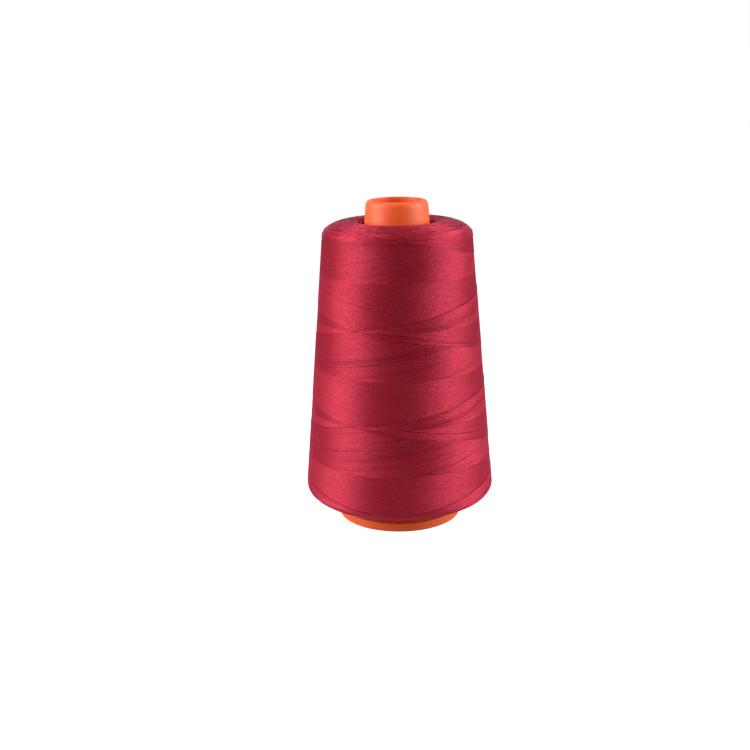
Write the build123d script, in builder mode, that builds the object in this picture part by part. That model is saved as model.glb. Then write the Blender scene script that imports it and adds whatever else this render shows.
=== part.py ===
"""Small sewing-thread cone: a moulded plastic winding core and the thread package wound on it.

Millimetres. +Z is the axis, pointing at the nose; the origin is the centre of the base's underside,
so the cone stands on the XY plane. Both pieces are sections turned about Z.
"""
import os
from math import radians, tan

from build123d import *

# Winding core: a tapered tube with a flange at its base
cone_height = 125.5
cone_taper = 4 + 20 / 60  # half angle in degrees: the 4 degree 20 minute sewing taper
wall = 1.6  # of the tapered tube, measured level
flange_overhang = 2.9  # how far the flange stands out from the foot of the tapered face
flange_height = 3.4
flange_edge_r = 0.4  # rounding of the flange's two outer edges
flange_root_r = 0.8  # rounding where the flange meets the tapered face

# Nose: a straight bore that seats on a spindle, under a rounded lip
spindle_bore_r = 10.0
bore_length = 8.0
nose_wall = 1.84  # from the bore to the tapered face, at the nose plane
lip_height = 2.5  # how far down the outer face the lip starts to round over
mouth_round = 0.3  # rounding between the lip and the bore
funnel_height = 2.0  # the lead-in that guides a spindle from the hollow into the bore

# Thread package wound on the core
foot_gap = 4.0  # bare core between the flange and the package
nose_gap = 7.6  # bare core between the package and the nose plane
base_winding = 16.97  # thickness of thread over the core at the lower corner, measured level
nose_winding = 16.01  # the same at the upper shoulder
base_corner_width = 9.5  # the lower corner is a quarter ellipse
base_corner_height = 5.8
shoulder_width = 10.5  # and so is the upper shoulder
shoulder_height = 5.6
dish_depth = 1.8  # how far the upper end sinks towards the core
winding_gap = 0.05  # between the core's face and the first layer of thread

nose_r = spindle_bore_r + nose_wall
taper_slope = tan(radians(cone_taper))


def core_r(height):
    """Outer radius of the core's tapered face at a height."""
    return nose_r + (cone_height - height) * taper_slope


# Winding core, one moulding: flange, tapered tube, and the nose with its lip and bore
flange_r = core_r(0) + flange_overhang
lip_start = cone_height - lip_height
lip_crest_r = spindle_bore_r + mouth_round
bore_top = cone_height - mouth_round
bore_bottom = bore_top - bore_length
funnel_bottom = bore_bottom - funnel_height
flange_root = (core_r(flange_height), flange_height)

with BuildPart() as cone_core:
    with BuildSketch(Plane.XZ) as core_section:
        with BuildLine():
            Polyline(
                (core_r(0) - wall, 0),
                (flange_r, 0),
                (flange_r, flange_height),
                flange_root,
                (core_r(lip_start), lip_start),
            )
            Bezier((core_r(lip_start), lip_start), (nose_r, cone_height), (lip_crest_r, cone_height))
            JernArc((lip_crest_r, cone_height), (-1, 0), mouth_round, 90)
            Polyline(
                (spindle_bore_r, bore_top),
                (spindle_bore_r, bore_bottom),
                (core_r(funnel_bottom) - wall, funnel_bottom),
                (core_r(0) - wall, 0),
            )
        make_face()
        fillet(core_section.vertices().group_by(Axis.X)[-1], flange_edge_r)
        fillet(core_section.vertices().sort_by_distance(flange_root)[0], flange_root_r)
    revolve(axis=Axis.Z)

# Thread package: one continuous cross-wound thread, as the closed solid that its turns fill.
# Its inner face follows the core; its upper end sinks from a rounded shoulder to the core.
package_bottom = flange_height + foot_gap
package_top = cone_height - nose_gap
dish_bottom = package_top - dish_depth
base_corner_z = package_bottom + base_corner_height
shoulder_z = package_top - shoulder_height
base_r = core_r(base_corner_z) + base_winding
shoulder_r = core_r(shoulder_z) + nose_winding
crest = (shoulder_r - shoulder_width, package_top)
lower_seat = (core_r(package_bottom) + winding_gap, package_bottom)
upper_seat = (core_r(dish_bottom) + winding_gap, dish_bottom)

with BuildPart() as thread_package:
    with BuildSketch(Plane.XZ):
        with BuildLine():
            Line(lower_seat, (base_r - base_corner_width, package_bottom))
            EllipticalCenterArc(
                (base_r - base_corner_width, base_corner_z),
                base_corner_width,
                base_corner_height,
                270,
                arc_size=90,
            )
            Line((base_r, base_corner_z), (shoulder_r, shoulder_z))
            EllipticalCenterArc((crest[0], shoulder_z), shoulder_width, shoulder_height, 0, arc_size=90)
            Bezier(crest, ((crest[0] + upper_seat[0]) / 2, package_top), upper_seat)
            Line(upper_seat, lower_seat)
        make_face()
    revolve(axis=Axis.Z)

os.makedirs("parts", exist_ok=True)
cone_core.part.label = "cone_core"
export_step(cone_core.part, "parts/cone_core.step")
thread_package.part.label = "thread_package"
export_step(thread_package.part, "parts/thread_package.step")
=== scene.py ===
"""Small cone of sewing thread: a moulded orange core and one crimson cotton thread cross-wound on it.

Sizes are in millimetres and become metres where a mesh, a lamp or a shader takes them. Heights are
above the base. Angles run from the front (-Y), positive towards +X.
"""
import math

import bpy
import numpy as np
from mathutils import Matrix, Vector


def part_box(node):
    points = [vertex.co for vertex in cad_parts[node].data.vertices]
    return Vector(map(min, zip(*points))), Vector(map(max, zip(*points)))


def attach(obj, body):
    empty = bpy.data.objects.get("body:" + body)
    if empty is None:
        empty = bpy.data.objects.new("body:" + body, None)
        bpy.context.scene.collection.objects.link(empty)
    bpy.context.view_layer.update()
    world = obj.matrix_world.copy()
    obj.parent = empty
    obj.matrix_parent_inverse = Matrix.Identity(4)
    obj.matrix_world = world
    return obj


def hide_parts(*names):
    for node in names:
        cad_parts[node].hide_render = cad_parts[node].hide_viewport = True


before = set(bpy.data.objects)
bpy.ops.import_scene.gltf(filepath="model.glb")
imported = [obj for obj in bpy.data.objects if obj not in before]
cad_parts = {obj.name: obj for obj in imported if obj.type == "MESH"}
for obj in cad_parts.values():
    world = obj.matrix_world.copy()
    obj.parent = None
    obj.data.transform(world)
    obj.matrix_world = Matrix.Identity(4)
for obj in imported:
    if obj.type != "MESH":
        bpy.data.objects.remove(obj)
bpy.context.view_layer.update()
MM = 0.001

# The camera stands in front of the cone, a little above its nose, and looks down at it.
CAMERA_BACK = 418.9
CAMERA_HEIGHT = 171.4
CAMERA_PITCH = 15.32
CAMERA_YAW = 1.27
CAMERA_ROLL = -0.88
CAMERA_LENS = 52.67
CAMERA_SENSOR = 36.0
CAMERA_NEAREST = 10.0

camera_data = bpy.data.cameras.new("camera")
camera_data.lens = CAMERA_LENS
camera_data.sensor_width = CAMERA_SENSOR
camera_data.clip_start = CAMERA_NEAREST * MM
camera = bpy.data.objects.new("camera", camera_data)
camera.matrix_world = (
    Matrix.Translation((0.0, -CAMERA_BACK * MM, CAMERA_HEIGHT * MM))
    @ Matrix.Rotation(math.radians(CAMERA_YAW), 4, "Z")
    @ Matrix.Rotation(math.radians(90.0 - CAMERA_PITCH), 4, "X")
    @ Matrix.Rotation(math.radians(CAMERA_ROLL), 4, "Z")
)
bpy.context.collection.objects.link(camera)
bpy.context.scene.camera = camera
bpy.context.scene.view_settings.view_transform = "Standard"

# Soft studio light: two tall soft boxes, far round to the sides, leave the front darker than the
# flanks. White paper all round adds a little fill, most of it from behind and from above.
BOX_DISTANCE = 900.0
BOX_LENGTH = 900.0
BOX_CENTRE_HEIGHT = 420.0
BOX_AIM_HEIGHT = 60.0
LEFT_BOX = (-74.0, 720.0, 12.6)  # angle round the axis, width, and power in watts
RIGHT_BOX = (82.0, 900.0, 12.2)
FRONT_FILL = 0.01
BACK_FILL = 0.8
TOP_FILL = 0.3
TOP_FROM = 0.4  # upward part of the direction from which the light from above sets in
PAPER_WHITE = 1.0


def soft_box(name, azimuth, width, power):
    """Rectangular lamp on a circle round the axis, its face turned to the middle of the cone."""
    lamp = bpy.data.lights.new(name, "AREA")
    lamp.shape = "RECTANGLE"
    lamp.size = width * MM
    lamp.size_y = BOX_LENGTH * MM
    lamp.energy = power
    stand = bpy.data.objects.new(name, lamp)
    tilt = math.degrees(math.atan2(BOX_CENTRE_HEIGHT - BOX_AIM_HEIGHT, BOX_DISTANCE))
    stand.matrix_world = (
        Matrix.Rotation(math.radians(azimuth), 4, "Z")
        @ Matrix.Translation((0.0, -BOX_DISTANCE * MM, BOX_CENTRE_HEIGHT * MM))
        @ Matrix.Rotation(math.radians(90.0 - tilt), 4, "X")
    )
    bpy.context.collection.objects.link(stand)


soft_box("soft_box_left", *LEFT_BOX)
soft_box("soft_box_right", *RIGHT_BOX)


def node(tree, kind, **values):
    """Adds a shader node and sets its inputs (in_ and a name or number) and its own settings."""
    made = tree.nodes.new(kind)
    for key, value in values.items():
        if key.startswith("in_"):
            which = key[3:]
            socket = made.inputs[int(which)] if which.isdigit() else made.inputs[which.replace("_", " ")]
            if isinstance(value, bpy.types.NodeSocket):
                tree.links.new(value, socket)
            else:
                socket.default_value = value
        else:
            setattr(made, key, value)
    return made


def remap(tree, value, span, ends):
    """The value carried in a straight line from span to ends, each (low, high), and held there."""
    low, high = ends
    made = node(tree, "ShaderNodeMapRange", in_Value=value, in_1=span[0], in_2=span[1], in_3=low, in_4=high)
    return made.outputs[0]


def paper(tree, fill):
    """Light from white paper: full white where the camera sees it, and fill elsewhere."""
    seen = node(tree, "ShaderNodeLightPath").outputs["Is Camera Ray"]
    return remap(tree, seen, (0.0, 1.0), (fill, PAPER_WHITE))


world = bpy.data.worlds.new("studio")
bpy.context.scene.world = world
world.use_nodes = True
studio = world.node_tree
background = studio.nodes["Background"]
background.inputs["Color"].default_value = (1.0, 1.0, 1.0, 1.0)
facing = node(studio, "ShaderNodeTexCoord").outputs["Generated"]
facing = node(studio, "ShaderNodeSeparateXYZ", in_Vector=facing)
behind = remap(studio, facing.outputs["Y"], (0.0, 1.0), (FRONT_FILL, BACK_FILL))
overhead = remap(studio, facing.outputs["Z"], (TOP_FROM, 1.0), (0.0, TOP_FILL))
around = node(studio, "ShaderNodeMath", operation="ADD", in_0=behind, in_1=overhead).outputs[0]
studio.links.new(paper(studio, around), background.inputs["Strength"])

# White paper floor, a hair below the base, which shows as clean white with no shadow on it. It
# gives back some of the lamps' light, more of it near the cone, which lifts the package's foot.
FLOOR_HALF = 3000.0
FLOOR_DROP = 0.02
FLOOR_FILL = 0.03
FLOOR_FADE = (60.0, 300.0)  # distances from the axis between which the floor falls from pale to dull
FLOOR_PALE = 0.5
FLOOR_DULL = 0.1

bpy.ops.mesh.primitive_plane_add(size=2 * FLOOR_HALF * MM, location=(0.0, 0.0, -FLOOR_DROP * MM))
floor = bpy.context.object
floor.name = "paper_floor"
floor_finish = bpy.data.materials.new("white_paper")
floor_finish.use_nodes = True
floor_tree = floor_finish.node_tree
floor_tree.nodes.clear()
away = node(floor_tree, "ShaderNodeTexCoord").outputs["Object"]
away = node(floor_tree, "ShaderNodeVectorMath", operation="LENGTH", in_0=away).outputs["Value"]
shade = remap(floor_tree, away, (FLOOR_FADE[0] * MM, FLOOR_FADE[1] * MM), (FLOOR_PALE, FLOOR_DULL))
floor_diffuse = node(floor_tree, "ShaderNodeBsdfDiffuse", in_Color=shade).outputs[0]
floor_glow = node(floor_tree, "ShaderNodeEmission", in_Strength=paper(floor_tree, FLOOR_FILL)).outputs[0]
floor_sum = node(floor_tree, "ShaderNodeAddShader", in_0=floor_diffuse, in_1=floor_glow).outputs[0]
node(floor_tree, "ShaderNodeOutputMaterial", in_Surface=floor_sum)
floor.data.materials.append(floor_finish)


# Winding core: one polypropylene moulding. A thin tapered tube with a flange at its foot and a
# rounded nose, whose bore seats on a spindle. The nose and the flange show past the thread.
core_top = np.array(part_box("cone_core")[1]) / MM
CONE_HEIGHT = core_top[2]
FLANGE_R = core_top[0]
CONE_SLOPE = math.tan(math.radians(4 + 20 / 60))
WALL = 1.6
FLANGE_HEIGHT = 3.4
FLANGE_EDGE_R = 0.4
FLANGE_ROOT_R = 0.8
ROOT_ROUND_END = 184.3  # where the root's rounding runs into the taper, in degrees
TAPER_START = 8.0
BORE_R = 10.0
BORE_LENGTH = 8.0
NOSE_R = 11.84
LIP_HEIGHT = 2.5
MOUTH_ROUND = 0.3
FUNNEL_HEIGHT = 2.0
CORE_STEPS = 256
ROUND_POINTS = 7
LIP_POINTS = 16
TAPER_POINTS = 30
FOOT_POINTS = 6
BORE_POINTS = 8
FUNNEL_POINTS = 4
SAME_PLACE = 1e-6


def core_r(height):
    """The tapered face's radius falls in a straight line from the foot to the nose plane."""
    return NOSE_R + (CONE_HEIGHT - height) * CONE_SLOPE


def arc(centre, radius, start, end, count):
    """Points centre + radius (cos a, sin a), with a from start to end in degrees."""
    a = np.radians(np.linspace(start, end, count))
    return np.stack([centre[0] + radius[0] * np.cos(a), centre[1] + radius[1] * np.sin(a)], 1)


def parabola(start, corner, end, count):
    """Curve that leaves start towards corner and reaches end from corner: a quadratic Bezier."""
    t = np.linspace(0.0, 1.0, count)[:, None]
    start, corner, end = np.array(start), np.array(corner), np.array(end)
    return (1 - t) ** 2 * start + 2 * t * (1 - t) * corner + t * t * end


def straight(start, end, count):
    """Points at even steps from start to end."""
    return np.linspace(np.array(start, float), np.array(end, float), count)


def joined(runs):
    """The runs' points end to end, without a point that repeats the one before it."""
    points = np.concatenate(runs)
    return points[np.r_[True, np.linalg.norm(np.diff(points, axis=0), axis=1) > SAME_PLACE]]


def core_outline():
    """Closed section of the moulding, from the foot of the hollow, out and round to it again."""
    edge, root, lip = FLANGE_EDGE_R, FLANGE_ROOT_R, CONE_HEIGHT - LIP_HEIGHT
    bore_top = CONE_HEIGHT - MOUTH_ROUND
    bore_foot = bore_top - BORE_LENGTH
    crest = (BORE_R + MOUTH_ROUND, CONE_HEIGHT)
    rim = FLANGE_R - edge
    root_centre = (core_r(FLANGE_HEIGHT + root) + root, FLANGE_HEIGHT + root)
    funnel_foot = bore_foot - FUNNEL_HEIGHT
    funnel = (core_r(funnel_foot) - WALL, funnel_foot)
    hollow_foot = (core_r(0) - WALL, 0)
    runs = [
        straight(hollow_foot, (rim, 0), FOOT_POINTS),
        arc((rim, edge), (edge, edge), -90, 0, ROUND_POINTS),
        arc((rim, FLANGE_HEIGHT - edge), (edge, edge), 0, 90, ROUND_POINTS),
        arc(root_centre, (root, root), 270, ROOT_ROUND_END, ROUND_POINTS),
        straight((core_r(TAPER_START), TAPER_START), (core_r(lip), lip), TAPER_POINTS),
        parabola((core_r(lip), lip), (NOSE_R, CONE_HEIGHT), crest, LIP_POINTS),
        arc((crest[0], bore_top), (MOUTH_ROUND, MOUTH_ROUND), 90, 180, ROUND_POINTS),
        straight((BORE_R, bore_top), (BORE_R, bore_foot), BORE_POINTS),
        straight((BORE_R, bore_foot), funnel, FUNNEL_POINTS),
        straight(funnel, hollow_foot, TAPER_POINTS),
    ]
    return joined(runs)[:-1]


def quad_mesh(name, points, quads, uv=None, tone=None):
    """Mesh of four-cornered faces from arrays in millimetres, with a UV map and a tone per point."""
    mesh = bpy.data.meshes.new(name)
    mesh.vertices.add(len(points))
    mesh.vertices.foreach_set("co", (points * MM).astype(np.float32).ravel())
    mesh.loops.add(quads.size)
    mesh.loops.foreach_set("vertex_index", quads.astype(np.int32).ravel())
    mesh.polygons.add(len(quads))
    mesh.polygons.foreach_set("loop_start", np.arange(0, quads.size, 4, dtype=np.int32))
    mesh.update(calc_edges=True)
    mesh.shade_smooth()
    if uv is not None:
        layer = mesh.uv_layers.new(name="lay")
        layer.uv.foreach_set("vector", uv.astype(np.float32).ravel())
    if tone is not None:
        mesh.attributes.new("tone", "FLOAT", "POINT").data.foreach_set("value", tone.astype(np.float32))
    piece = bpy.data.objects.new(name, mesh)
    bpy.context.collection.objects.link(piece)
    return piece


def turned(section, steps):
    """A closed section (radius, height) turned about Z: (r sin a, -r cos a, z) for steps of a."""
    a = np.linspace(0.0, 2 * np.pi, steps, endpoint=False)[:, None]
    r, z = section[:, 0][None], section[:, 1][None]
    points = np.stack([r * np.sin(a), -r * np.cos(a), np.broadcast_to(z, (steps, len(section)))], 2)
    i, j = np.meshgrid(np.arange(steps), np.arange(len(section)), indexing="ij")
    ahead, beside = (i + 1) % steps, (j + 1) % len(section)
    n = len(section)
    quads = np.stack([i * n + j, ahead * n + j, ahead * n + beside, i * n + beside], 2)
    return points.reshape(-1, 3), quads.reshape(-1, 4)


def principled(name):
    """A new material with its tree and its Principled shader."""
    finish = bpy.data.materials.new(name)
    finish.use_nodes = True
    return finish, finish.node_tree, finish.node_tree.nodes["Principled BSDF"]


def noise(tree, place, scale, detail, roughness=0.5):
    """Noise over the place, with as many steps of finer noise as detail says added to it."""
    settings = {"in_Scale": scale, "in_Detail": detail, "in_Roughness": roughness}
    return node(tree, "ShaderNodeTexNoise", in_Vector=place, **settings).outputs["Fac"]


def mixed(tree, share, first, second, way="MIX"):
    """Two colours, mixed or put together in another way, with none of the second at a share of 0."""
    made = node(tree, "ShaderNodeMix", data_type="RGBA", blend_type=way, in_0=share, in_6=first, in_7=second)
    return made.outputs[2]


core = quad_mesh("cone_core_moulding", *turned(core_outline(), CORE_STEPS))
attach(core, "root")
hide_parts("cone_core")

# Satin polypropylene: fine mould grain, a slow drift of colour from the melt, light scuffs, and a
# little light that passes through it. Noise has scales per metre and values close to NOISE_SPAN.
CORE_ORANGE = (1.0, 0.148, 0.027, 1.0)
CORE_DEEP_ORANGE = (0.98, 0.122, 0.020, 1.0)
CORE_ROUGHNESS = (0.42, 0.54)
CORE_GLOW = 0.2
CORE_GLOW_REACH = (8.0, 1.6, 0.5)
MELT_SCALE = 45.0
SCUFF_SCALE = 260.0
MOULD_SCALE = 2600.0
MOULD_DEPTH = 0.03
NOISE_SPAN = (0.3, 0.7)

plastic, tree, shader = principled("orange_polypropylene")
place = node(tree, "ShaderNodeTexCoord").outputs["Object"]
drift = noise(tree, place, MELT_SCALE, 3.0)
tree.links.new(mixed(tree, drift, CORE_DEEP_ORANGE, CORE_ORANGE), shader.inputs["Base Color"])
scuff = noise(tree, place, SCUFF_SCALE, 6.0, 0.6)
tree.links.new(remap(tree, scuff, NOISE_SPAN, CORE_ROUGHNESS), shader.inputs["Roughness"])
grain = noise(tree, place, MOULD_SCALE, 2.0)
bump = node(tree, "ShaderNodeBump", in_Height=grain, in_Strength=0.25, in_Distance=MOULD_DEPTH * MM)
tree.links.new(bump.outputs[0], shader.inputs["Normal"])
shader.inputs["Subsurface Weight"].default_value = CORE_GLOW
shader.inputs["Subsurface Radius"].default_value = [reach * MM for reach in CORE_GLOW_REACH]
core.data.materials.append(plastic)


# Thread package: one mercerised cotton thread, cross-wound with three turns to a stroke. Each
# stroke lies a thread's width behind the last, so crossing lines ring the package at every half
# turn of rise, and the newest threads make a long zigzag edge round it.
wound_low, wound_high = (np.array(corner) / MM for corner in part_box("thread_package"))
PACKAGE_FOOT = wound_low[2]
PACKAGE_TOP = wound_high[2]
BASE_R = wound_high[0]
BASE_CORNER = (9.5, 5.8)
SHOULDER = (10.5, 5.6)
SHOULDER_R = 28.85
DISH_DEPTH = 1.8
WINDING_GAP = 0.05
THREAD = 0.2
END_POINTS = 200
CORNER_POINTS = 400
FACE_POINTS = 1200


def package_outline():
    """Radius and height round the winding, from the core at the foot to the core at the nose."""
    corner_r, corner_z = BASE_R - BASE_CORNER[0], PACKAGE_FOOT + BASE_CORNER[1]
    crest_r, shoulder_z = SHOULDER_R - SHOULDER[0], PACKAGE_TOP - SHOULDER[1]
    lower_seat = (core_r(PACKAGE_FOOT) + WINDING_GAP, PACKAGE_FOOT)
    upper_seat = (core_r(PACKAGE_TOP - DISH_DEPTH) + WINDING_GAP, PACKAGE_TOP - DISH_DEPTH)
    dish_corner = ((crest_r + upper_seat[0]) / 2, PACKAGE_TOP)
    runs = [
        straight(lower_seat, (corner_r, PACKAGE_FOOT), END_POINTS),
        arc((corner_r, corner_z), BASE_CORNER, -90, 0, CORNER_POINTS),
        straight((BASE_R, corner_z), (SHOULDER_R, shoulder_z), FACE_POINTS),
        arc((crest_r, shoulder_z), SHOULDER, 0, 90, CORNER_POINTS),
        parabola((crest_r, PACKAGE_TOP), dish_corner, upper_seat, END_POINTS),
    ]
    return joined(runs)


outline = package_outline()
outline_s = np.r_[0.0, np.cumsum(np.linalg.norm(np.diff(outline, axis=0), axis=1))]
outline_slope = np.gradient(outline, outline_s, axis=0)
corner_s = float(np.interp(PACKAGE_FOOT + BASE_CORNER[1], outline[:, 1], outline_s))
shoulder_s = float(np.interp(PACKAGE_TOP - SHOULDER[1], outline[:, 1], outline_s))
PACKAGE_LENGTH = outline_s[-1]


def laid(s, angle, lift):
    """Place and outward normal at run s along the outline, at an angle round the axis, lifted."""
    r, z = np.interp(s, outline_s, outline[:, 0]), np.interp(s, outline_s, outline[:, 1])
    slope_r = np.interp(s, outline_s, outline_slope[:, 0])
    slope_z = np.interp(s, outline_s, outline_slope[:, 1])
    size = np.hypot(slope_r, slope_z)
    out_r, out_z = slope_z / size, -slope_r / size
    r, z = r + lift * out_r, z + lift * out_z
    sin, cos = np.sin(angle), np.cos(angle)
    return np.stack([r * sin, -r * cos, z], -1), np.stack([out_r * sin, -out_r * cos, out_z], -1)


# How the strokes are laid: the rise of one turn along the outline, how far before the lower corner
# strokes turn back, and the angle at which the newest one turned back there.
RISE = 36.14
TURN_PER_RISE = 2 * np.pi / RISE
TURN_BACK_LOW = corner_s - 4.52
NEWEST_ANGLE = math.radians(-27.5)
STROKE_TURNS = 3
COURSES = 2 * STROKE_TURNS
COURSE = RISE / 2
STROKES = 178

# Strokes that lie a little apart from their neighbours and leave a slit: the stroke's age, where
# the slit is widest and how far it reaches, both in courses. More are scattered at random. The
# newest stroke has one in every course.
RISING_SLITS = [
    (0.100, 4.2, 0.4), (0.120, 4.15, 0.4), (0.142, 4.2, 0.4), (0.164, 4.1, 0.5),
    (0.178, 2.0, 0.4), (0.25, 1.6, 0.3), (0.300, 3.45, 0.3), (0.320, 3.4, 0.3),
    (0.342, 3.45, 0.35), (0.362, 3.5, 0.3), (0.320, 1.45, 0.3), (0.342, 1.4, 0.3),
    (0.362, 1.45, 0.3), (0.45, 1.25, 0.3), (0.45, 5.25, 0.3), (0.466, 3.12, 0.3),
    (0.486, 3.12, 0.3), (0.59, 1.05, 0.25), (0.12, 0.2, 0.35), (0.13, 0.2, 0.35),
    (0.10, 2.2, 0.35), (0.12, 2.15, 0.35), (0.142, 2.2, 0.35), (0.64, 3.2, 0.25),
    (0.66, 3.2, 0.25),
]
FALLING_SLITS = [
    (0.035, 3.8, 0.3), (0.055, 3.8, 0.3), (0.08, 1.9, 0.3), (0.27, 4.5, 0.1),
    (0.10, 0.3, 0.2), (0.12, 0.3, 0.2),
]
NEWEST_SLIT = (0.008, 0.42)
SCATTERED_SLITS = 7
SCATTERED_FROM = (0.05, 0.0, 0.08)
SCATTERED_TO = (0.95, COURSES, 0.25)
SLIT_OPENING = 1.5
SLIT_SPREAD = 0.08
SLIT_REACH = 0.35
SLIT_DEPTH = 0.19
SLIT_HALF = 0.13
SLIT_FELT = 6 * SLIT_REACH
EDGE_PROUD = 0.06

RISING_SLITS.extend((NEWEST_SLIT[0], number + 0.5, NEWEST_SLIT[1]) for number in range(COURSES))
rng = np.random.default_rng(7)
for slits in (RISING_SLITS, FALLING_SLITS):
    scattered = rng.uniform(SCATTERED_FROM, SCATTERED_TO, (SCATTERED_SLITS, 3))
    slits.extend(map(tuple, scattered))

# The thread itself: a tube with six sides, a little flattened where it presses on the next turn.
SIDES = 6
THREAD_WIDE = 1.08
THREAD_FLAT = 0.92
TWIST_SHIFT = 51.0  # how far apart the twist of threads with tones 0 and 1 starts, in rounds


class Strands:
    """Collects thread tubes and joins them into one mesh."""

    def __init__(self):
        self.points, self.quads, self.uv, self.tone, self.count = [], [], [], [], 0

    def add(self, s, angle, lift, width, tone):
        """A tube round the path: rings of width * (cos p normal + sin p side), with closed ends."""
        centre, normal = laid(s, angle, lift)
        run = np.gradient(centre, axis=0)
        run /= np.linalg.norm(run, axis=1)[:, None]
        side = np.cross(run, normal)
        side /= np.linalg.norm(side, axis=1)[:, None]
        normal = np.cross(side, run)
        p = np.linspace(0, 2 * np.pi, SIDES, endpoint=False) + np.pi / SIDES
        across = np.cos(p)[None, :, None] * normal[:, None] * THREAD_FLAT
        across = across + np.sin(p)[None, :, None] * side[:, None] * THREAD_WIDE
        rings = centre[:, None] + across * (width / 2)[:, None, None]
        n = len(s)
        i, j = np.meshgrid(np.arange(n - 1), np.arange(SIDES), indexing="ij")
        k = (j + 1) % SIDES
        quads = np.stack([i * SIDES + j, i * SIDES + k, (i + 1) * SIDES + k, (i + 1) * SIDES + j], 2)
        first = np.array([[0, 5, 4, 3], [0, 3, 2, 1]])
        last = (n - 1) * SIDES + np.array([[0, 1, 2, 3], [0, 3, 4, 5]])
        length = np.r_[0.0, np.cumsum(np.linalg.norm(np.diff(centre, axis=0), axis=1))]
        u = np.stack([length[i], length[i], length[i + 1], length[i + 1]], 2)
        v = np.stack([j, j + 1, j + 1, j], 2) / SIDES
        uv = np.stack([u, v + TWIST_SHIFT * tone], 3).reshape(-1, 4, 2)
        self.points.append(rings.reshape(-1, 3))
        self.quads.append(np.concatenate([quads.reshape(-1, 4), first, last]) + self.count)
        self.uv.append(np.concatenate([uv, np.zeros((len(first) + len(last), 4, 2))]))
        self.tone.append(np.full(n * SIDES, tone))
        self.count += n * SIDES

    def piece(self, name):
        """The mesh object of all strands so far, riding on the cone."""
        made = quad_mesh(
            name,
            np.concatenate(self.points),
            np.concatenate(self.quads),
            np.concatenate(self.uv),
            np.concatenate(self.tone),
        )
        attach(made, "root")
        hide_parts("thread_package")
        return made


def wander(count, smooth, size):
    """Smooth random numbers along a strand: rough ones averaged over smooth steps, scaled to size."""
    rough = rng.standard_normal(count + 2 * smooth)
    kernel = np.hanning(2 * smooth + 1)
    kernel /= np.sqrt((kernel**2).sum())
    return size * np.convolve(rough, kernel, "valid")[:count]


def raise_over(run_in, length):
    """Smooth step from 0 to 1 as run_in goes from 0 to length: 3 t^2 - 2 t^3."""
    t = np.clip(run_in / length, 0.0, 1.0)
    return t * t * (3 - 2 * t)


def part_at_slits(age, courses, slits):
    """Shift along the outline and lift of a strand near the slits.

    A slit opens by 1.5 (1 - d^2), held between 0 and 1, at d reaches from where it is widest. The
    strand on it sinks, its neighbours draw apart by an amount that dies away with distance, and
    stand a little proud.
    """
    shift, lift = np.zeros_like(courses), np.zeros_like(courses)
    for slit_age, widest, reach in slits:
        away = (age - slit_age) * RISE
        if abs(away) > SLIT_FELT:
            continue
        opened = np.clip(SLIT_OPENING * (1 - ((courses - widest) / reach) ** 2), 0.0, 1.0)
        near = math.exp(-abs(away) / SLIT_REACH)
        shift += math.copysign(SLIT_SPREAD, away) * near * opened
        on_slit = math.exp(-((away / SLIT_HALF) ** 2))
        lift += opened * (EDGE_PROUD * near * (1 - on_slit) - SLIT_DEPTH * on_slit)
    return shift, lift


# The face of the package: how closely a strand is followed, how far it tucks under at its ends, and
# how unevenly it lies. Each wander has the steps that it is smoothed over and its size.
STEP = 1.6
LEAST_STEPS = 6
TUCK = 1.6
TUCK_RAMP = 1.6 * TUCK
TUCK_DEPTH = 1.25 * THREAD
LAY_SPREAD = 0.018
GAUGE_SPREAD = 0.05
SIDE_WANDER = (6, 0.008)
HEIGHT_WANDER = (3, 0.005)
SLUB_WANDER = (1, 0.05)
NEWEST_PROUD = 0.09
NEWEST_PROUD_FALLING = 0.036
NEWEST_REACH = 0.3


def course(number):
    """The threads that show between two crossing lines: rising ones below the zigzag, falling above.

    A stroke of age a, from 0 to 1, shows over the share 1 - a of the course, the rising one from its
    lower line and the falling one from its upper line. It turns about the axis in step with its
    rise. Its level is 2, at the package's surface, less 2 a and less the share of the course that
    lies between it and that line. At level 0 it is a thread's thickness deep.
    """
    strands = Strands()
    foot = TURN_BACK_LOW + number * COURSE
    mid_r = np.interp(foot + COURSE / 2, outline_s, outline[:, 0])
    run_per_rise = TURN_PER_RISE * mid_r
    for stroke in range(STROKES):
        age = (stroke + 0.5) / STROKES
        for rising in (True, False):
            shown = COURSE * (1 - age)
            low = 0.0 if rising else COURSE - shown
            high = low + shown
            tone = rng.uniform()
            jitter = rng.normal(0.0, LAY_SPREAD)
            gauge = THREAD * rng.normal(1.0, GAUGE_SPREAD)
            count = max(int((shown * run_per_rise + 2 * TUCK) / STEP), LEAST_STEPS)
            up = np.linspace(low - TUCK / run_per_rise, high + TUCK / run_per_rise, count)
            start = NEWEST_ANGLE + 2 * np.pi * age
            turn = (foot + up - TURN_BACK_LOW) * TURN_PER_RISE
            angle = start + turn if rising else start - turn
            share = up / COURSE if rising else 1 - up / COURSE
            level = 2 - 2 * age - share
            sunk = 1 - raise_over(np.minimum(up - low, high - up) * run_per_rise + TUCK, TUCK_RAMP)
            lift = THREAD * (level / 2 - 1) - TUCK_DEPTH * sunk
            slits = RISING_SLITS if rising else FALLING_SLITS
            shift, proud = part_at_slits(age, number + up / COURSE, slits)
            s = foot + up + jitter + shift + wander(count, *SIDE_WANDER)
            newest = NEWEST_PROUD if rising else NEWEST_PROUD_FALLING
            newest = newest * math.exp(-age * RISE / NEWEST_REACH)
            lift = lift + proud + newest + wander(count, *HEIGHT_WANDER)
            width = gauge * (1 + wander(count, *SLUB_WANDER))
            strands.add(s, angle, lift, width, tone)
    return strands.piece(f"thread_course_{number + 1}")


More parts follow.
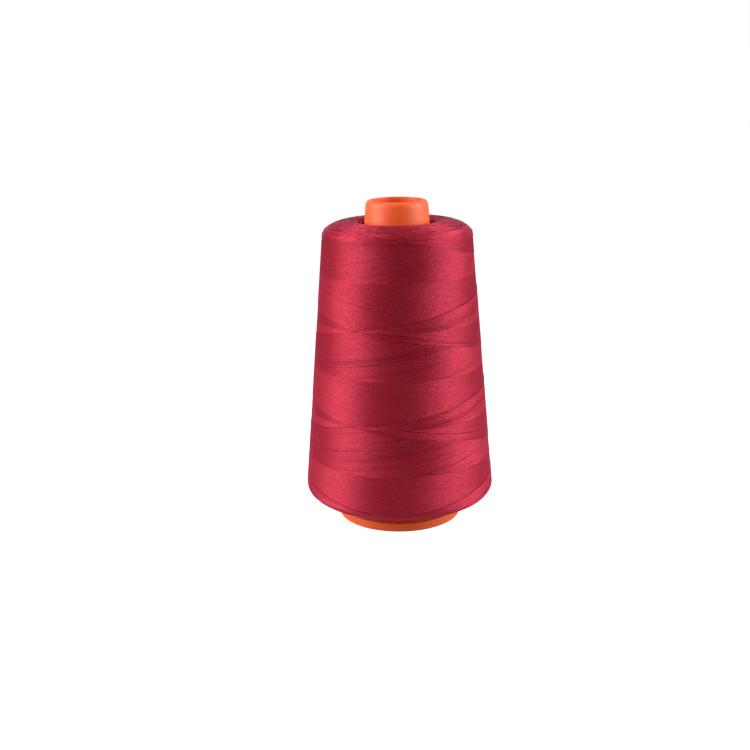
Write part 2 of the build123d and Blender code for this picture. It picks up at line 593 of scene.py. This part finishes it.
# The ends of the package: arcs of thread, shallow like the turns they belong to, row behind row.
# Where two numbers are given for a spread, the second is added in full next to the core.
END_MARGIN = 0.2
END_LAP = 3.0
END_PITCH = 0.66
END_STEP = 2.1
ARC_LENGTH = 26.0
LEAST_ARCS = 4
ARC_OVERLAP = (1.05, 1.3)
ARC_SPREAD = 0.1
TIP_ROUND = 3.0
TIP_SPREAD = (0.06, 0.5)
END_SIDE_WANDER = (0.03, 0.25)
END_HEIGHT_WANDER = (4, 0.02)
END_HEIGHT_SPREAD = 0.02
END_TUCK = 0.9
LOOSE = 3.0
LOOSE_SINK = 0.6
OUTLINE_MARGIN = 0.1


def end_turns(first, last):
    """Thread turning back over an end of the package: arcs whose tips face the end, at run first.

    An arc falls away from its tip by sqrt(x^2 + c^2) - c, where x is its rise and c rounds the tip.
    It lies half a thread deep at its tip and tucks under towards its two ends. Within LOOSE of the
    core the turns lie untidily, sink and leave gaps.
    """
    strands = Strands()
    outward = math.copysign(1.0, first - last)
    rows = int(abs(last - first) / (THREAD * END_PITCH))
    for row in range(rows):
        tip = first + (last - first) * (row + 0.5) / rows
        loose = raise_over(LOOSE - abs(first - tip), LOOSE)
        radius = float(np.interp(tip, outline_s, outline[:, 0]))
        arcs = max(int(round(2 * np.pi * radius / ARC_LENGTH)), LEAST_ARCS)
        phase = rng.uniform(0, 2 * np.pi)
        for k in range(arcs):
            half = np.pi / arcs * rng.uniform(*ARC_OVERLAP)
            count = max(int(2 * half * radius / END_STEP), LEAST_STEPS)
            turn = np.linspace(-half, half, count)
            middle = phase + 2 * np.pi * k / arcs + rng.normal(0, ARC_SPREAD)
            fall = np.hypot(turn / TURN_PER_RISE, TIP_ROUND) - TIP_ROUND
            stray = rng.normal(0, TIP_SPREAD[0] + TIP_SPREAD[1] * loose)
            side = wander(count, SIDE_WANDER[0], END_SIDE_WANDER[0] + END_SIDE_WANDER[1] * loose)
            s = tip - outward * fall + stray + side
            s = np.clip(s, OUTLINE_MARGIN, PACKAGE_LENGTH - OUTLINE_MARGIN)
            sunk = 0.5 + END_TUCK * raise_over(np.abs(turn) * radius, half * radius) ** 2
            lift = wander(count, *END_HEIGHT_WANDER) + rng.normal(0, END_HEIGHT_SPREAD) - THREAD * sunk
            lift = lift - loose * abs(rng.normal(0, LOOSE_SINK))
            gauge = THREAD * rng.normal(1.0, GAUGE_SPREAD)
            strands.add(s, middle + turn, lift, np.full(count, gauge), rng.uniform())
    return strands


# Cotton thread: dyed crimson, mercerised so that it shines in its own colour, with the twist of
# its plies, a soft nap at grazing angles and small differences of dye from turn to turn.
CRIMSON = (0.41, 0.0001, 0.0020, 1.0)
CRIMSON_LIGHT = (0.62, 0.0010, 0.010, 1.0)
# Painted shade: the next two crimsons colour the wound body far darker than the outer threads, for the slits
# where it shows.
PAINTED_SHADE_CRIMSON = (0.13, 0.0008, 0.003, 1.0)
PAINTED_DEEPEST_SHADE = (0.07, 0.0004, 0.0015, 1.0)
LUSTRE_TINT = (1.0, 0.5, 0.85, 1.0)
NAP_TINT = (1.0, 0.5, 0.75, 1.0)
NAP_ROUGHNESS = 0.25
DYE_SCALE = 1100.0
DYE_STREAK = 0.8
DYE_SPAN = (0.75, 1.6)
TONE_SHARE = 0.1
NAP_SCALE = 2300.0
NAP_SHADES = (0.74, 1.27)
NAP_HEIGHT = 0.08
TWIST_SCALE = 0.55
TWIST_HEIGHT = 0.02


def cotton(name, shades, roughness, ior, metal, shine, nap_glow):
    """Crimson cotton between two given shades, with two roughnesses: in the nap's hollows, on its tips. The
    shades are dye on the outer threads and painted shade on the wound body.
    """
    finish, tree, shader = principled(name)
    place = node(tree, "ShaderNodeTexCoord").outputs["Object"]
    tone = node(tree, "ShaderNodeAttribute", attribute_name="tone").outputs["Fac"]
    lay = node(tree, "ShaderNodeUVMap", uv_map="lay").outputs[0]
    speck = noise(tree, place, DYE_SCALE, 3.0, 0.7)
    streak = noise(tree, lay, DYE_STREAK, 2.0)
    dye = node(tree, "ShaderNodeMath", operation="ADD", in_0=speck, in_1=streak).outputs[0]
    dye = node(tree, "ShaderNodeMath", operation="MULTIPLY_ADD", in_0=tone, in_1=TONE_SHARE, in_2=dye)
    colour = mixed(tree, remap(tree, dye.outputs[0], DYE_SPAN, (0.0, 1.0)), *shades)
    nap = noise(tree, place, NAP_SCALE, 1.0)
    colour = mixed(tree, 1.0, colour, remap(tree, nap, NOISE_SPAN, NAP_SHADES), "MULTIPLY")
    tree.links.new(colour, shader.inputs["Base Color"])
    tree.links.new(remap(tree, nap, NOISE_SPAN, roughness), shader.inputs["Roughness"])
    shader.inputs["IOR"].default_value = ior
    shader.inputs["Metallic"].default_value = metal
    shader.inputs["Specular IOR Level"].default_value = shine
    shader.inputs["Specular Tint"].default_value = LUSTRE_TINT
    shader.inputs["Sheen Weight"].default_value = nap_glow
    shader.inputs["Sheen Roughness"].default_value = NAP_ROUGHNESS
    shader.inputs["Sheen Tint"].default_value = NAP_TINT
    twist = node(tree, "ShaderNodeTexWave", in_Vector=lay, in_Scale=TWIST_SCALE, in_Distortion=0.6)
    twist.bands_direction = "DIAGONAL"
    plies = node(tree, "ShaderNodeBump", in_Height=twist.outputs["Fac"], in_Strength=0.5)
    plies.inputs["Distance"].default_value = TWIST_HEIGHT * MM
    fuzz = node(tree, "ShaderNodeBump", in_Height=nap, in_Strength=1.0, in_Normal=plies.outputs[0])
    fuzz.inputs["Distance"].default_value = NAP_HEIGHT * MM
    tree.links.new(fuzz.outputs[0], shader.inputs["Normal"])
    return finish


thread_cotton = cotton(
    "crimson_cotton",
    shades=(CRIMSON, CRIMSON_LIGHT),
    roughness=(0.53, 0.34),
    ior=1.9,
    metal=0.6,
    shine=1.0,
    nap_glow=0.03,
)
# Painted shade: the wound body's cotton is far darker than the same dye on the outer threads.
painted_shade_cotton = cotton(
    "crimson_cotton_painted_shade",
    shades=(PAINTED_DEEPEST_SHADE, PAINTED_SHADE_CRIMSON),
    roughness=(0.86, 0.74),
    ior=1.3,
    metal=0.0,
    shine=0.2,
    nap_glow=0.0,
)

wound_pieces = [course(number) for number in range(COURSES)]
top_s = TURN_BACK_LOW + COURSES * COURSE
nose_turns = end_turns(PACKAGE_LENGTH - END_MARGIN, top_s - END_LAP)
base_turns = end_turns(END_MARGIN, TURN_BACK_LOW + END_LAP)

# A few turns stand proud at the shoulder, swaying a little, with their ends pressed in. One
# slipped end lifts off on the right and grows thinner.
PROUD_TURNS = 26
PROUD_SWEEP = (0.8, 2.2)
PROUD_RAMP = 0.25
PROUD_SINK = 1.2 * THREAD
PROUD_LIFT = 0.16
PROUD_PLACE = (-0.5, 2.5)
PROUD_SWAY = 0.4
SLIPPED_END = (72.0, 80.0)
SLIPPED_POINTS = 12
SLIPPED_TONE = 0.8
PEEL_START = (0.6, -0.1)  # place past the shoulder and height
PEEL_SLIDE = 0.5
PEEL_LIFT = 0.9
PEEL_THINNING = 0.5

for _ in range(PROUD_TURNS):
    start, sweep = rng.uniform(0, 2 * np.pi), rng.uniform(*PROUD_SWEEP)
    angle = start + np.linspace(0, sweep, int(sweep * SHOULDER_R / STEP))
    rest = raise_over(np.minimum(angle - start, start + sweep - angle), PROUD_RAMP)
    level = rest * (PROUD_SINK + rng.uniform(0.0, PROUD_LIFT)) - PROUD_SINK
    place = shoulder_s + rng.uniform(*PROUD_PLACE) + PROUD_SWAY * np.sin(2 * (angle - start))
    nose_turns.add(place, angle, level, np.full(len(angle), THREAD), rng.uniform())
angle = np.radians(np.linspace(*SLIPPED_END, SLIPPED_POINTS))
peel = raise_over(angle - angle[0], angle[-1] - angle[0]) ** 2
place = shoulder_s + PEEL_START[0] - PEEL_SLIDE * peel
width = THREAD * (1 - PEEL_THINNING * peel)
nose_turns.add(place, angle, PEEL_START[1] + PEEL_LIFT * peel, width, SLIPPED_TONE)

wound_pieces += [nose_turns.piece("thread_turns_nose_end"), base_turns.piece("thread_turns_base_end")]
for piece in wound_pieces:
    piece.data.materials.append(thread_cotton)

# The wound mass under the outer threads: the rest of the same cotton, pressed tight on the core, as
# one closed body. It is coloured far darker than the outer threads, as painted shade where it shows
# in the slits. It sinks deeper where the turns beside the core lie loose.
BODY_SINK = 0.95 * THREAD
END_SINK = 1.6
BODY_MARGIN = 0.3
BODY_POINTS = 260
INNER_POINTS = 30

inner_z = np.linspace(PACKAGE_TOP - DISH_DEPTH, PACKAGE_FOOT, INNER_POINTS)[1:-1]
inner = np.stack([core_r(inner_z) + WINDING_GAP, inner_z], 1)
body_s = np.linspace(BODY_MARGIN, PACKAGE_LENGTH - BODY_MARGIN, BODY_POINTS)
body_r = np.interp(body_s, outline_s, outline[:, 0])
body_z = np.interp(body_s, outline_s, outline[:, 1])
slope = np.stack([np.interp(body_s, outline_s, outline_slope[:, k]) for k in (0, 1)], 1)
sink = BODY_SINK + END_SINK * raise_over(LOOSE - np.minimum(body_s, PACKAGE_LENGTH - body_s), LOOSE)
sunk = np.stack([body_r - sink * slope[:, 1], body_z + sink * slope[:, 0]], 1)
body = quad_mesh("thread_wound_body", *turned(np.concatenate([sunk, inner]), CORE_STEPS))
body.data.materials.append(painted_shade_cotton)
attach(body, "root")
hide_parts("thread_package")
